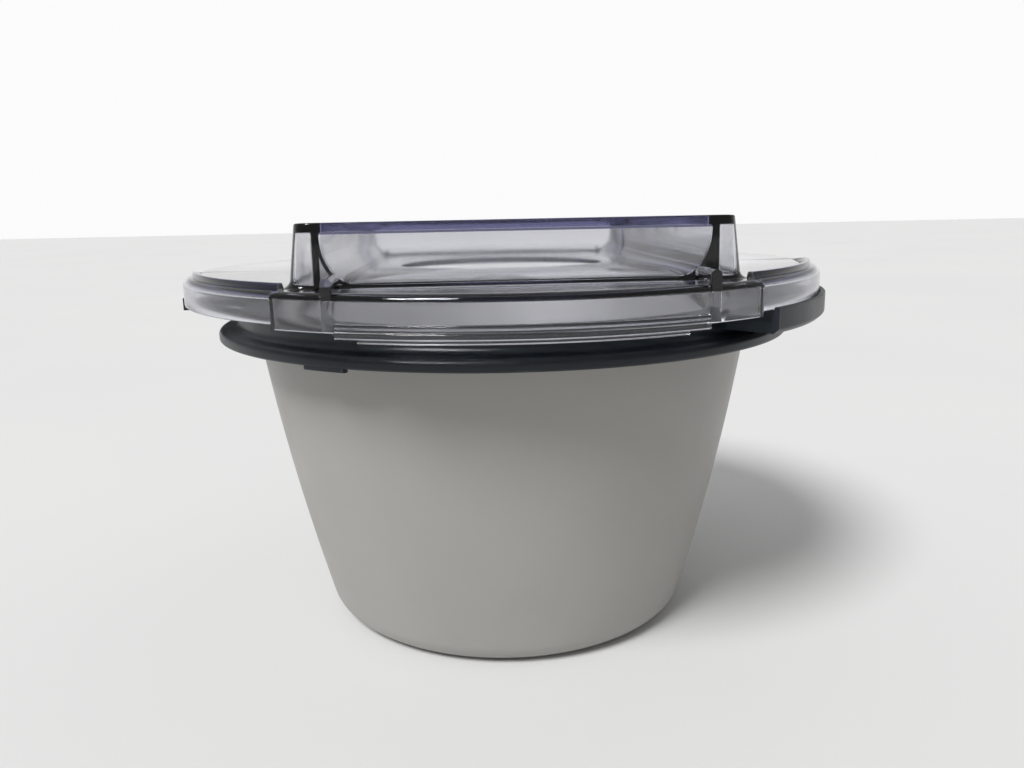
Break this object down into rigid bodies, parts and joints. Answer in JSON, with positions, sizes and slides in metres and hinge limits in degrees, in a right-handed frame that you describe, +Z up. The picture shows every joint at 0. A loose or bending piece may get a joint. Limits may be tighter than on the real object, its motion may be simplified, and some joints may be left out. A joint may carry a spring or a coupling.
{
  "type": "ice cream maker",
  "caption": "Freezer-bowl ice cream attachment for a stand mixer: double-walled cold bowl, turn-lock adapter ring with grips, spinning stirrer and clear lift-off lid with a drive well.",
  "frame": {"origin": "centre of the bowl's underside, where it rests", "axes": "+Z up along the bowl's axis; the lid's front lip points along -Y"},
  "size_m": [0.234, 0.2341, 0.148],
  "materials": {
    "bowl_plastic": "satin moulded plastic, warm light grey",
    "ring_plastic": "satin moulded plastic, dark blue-grey",
    "clear_plastic": "clear polished plastic with a faint violet-grey tint",
    "stirrer_plastic": "smooth moulded plastic, off-white",
    "liner_metal": "satin spun aluminium",
    "steel": "turned stainless steel",
    "seal_rubber": "matt rubber",
    "gel": "sealed cooling fill, never seen"
  },
  "bodies": {
    "bowl": {"bowl_outer_shell": "bowl_plastic", "bowl_inner_liner": "liner_metal", "bowl_rim_cap": "bowl_plastic", "shell_seal": "seal_rubber", "rim_seal": "seal_rubber", "coolant_gel": "gel", "fill_plug": "bowl_plastic", "fill_plug_seal": "seal_rubber", "pivot_pin": "steel", "pivot_washer": "stirrer_plastic"},
    "ring": {"adapter_ring": "ring_plastic", "ring_gasket": "seal_rubber"},
    "lid": {"lid": "clear_plastic"},
    "stirrer": {"stirrer_paddle": "stirrer_plastic", "pivot_bush": "stirrer_plastic", "drive_coupling": "steel", "coupling_pin": "steel"}
  },
  "joints": [
    {"name": "ring_turn", "type": "hinge", "parent": "bowl", "child": "ring", "pos_m": [0, 0, 0.112], "axis": [0, 0, 1], "range_deg": [0, 20]},
    {"name": "lid_lift", "type": "slide", "parent": "ring", "child": "lid", "axis": [0, 0, 1], "range_m": [0, 0.06]},
    {"name": "stirrer_spin", "type": "hinge", "parent": "bowl", "child": "stirrer", "pos_m": [0, 0, 0.03], "axis": [0, 0, 1], "continuous": true}
  ]
}
